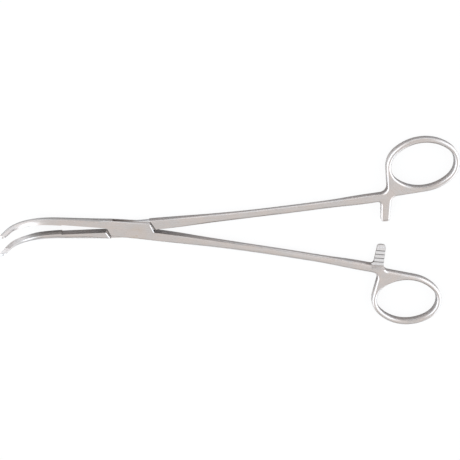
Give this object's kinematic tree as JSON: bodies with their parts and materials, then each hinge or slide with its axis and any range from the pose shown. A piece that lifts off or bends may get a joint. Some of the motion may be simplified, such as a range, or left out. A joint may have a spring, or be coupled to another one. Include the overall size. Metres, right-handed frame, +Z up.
{
  "type": "cystic duct forceps",
  "caption": "Slender ring-handled clamp for gall bladder surgery, with a box lock, a ratchet and serrated jaws that curve up steeply at the tip.",
  "frame": {"origin": "on the pivot axis of the box lock, in the plane that the underside of the box and of the finger rings lies on", "axes": "+X from the jaws to the finger rings, +Z up out of the resting plane, the way the jaw tips curve; the pivot axis is Z"},
  "size_m": [0.2201, 0.1018, 0.0249],
  "materials": {
    "satin_steel": "satin",
    "pin_steel": "satin, ground flush"
  },
  "bodies": {
    "box_side": {"box_half": "satin_steel", "joint_pin": "pin_steel"},
    "tenon_side": {"tenon_half": "satin_steel"}
  },
  "joints": [
    {"name": "box_lock", "type": "hinge", "parent": "box_side", "child": "tenon_side", "pos_m": [0, 0, 0.0025], "axis": [0, 0, 1], "range_deg": [-7.4, 52.6]}
  ]
}
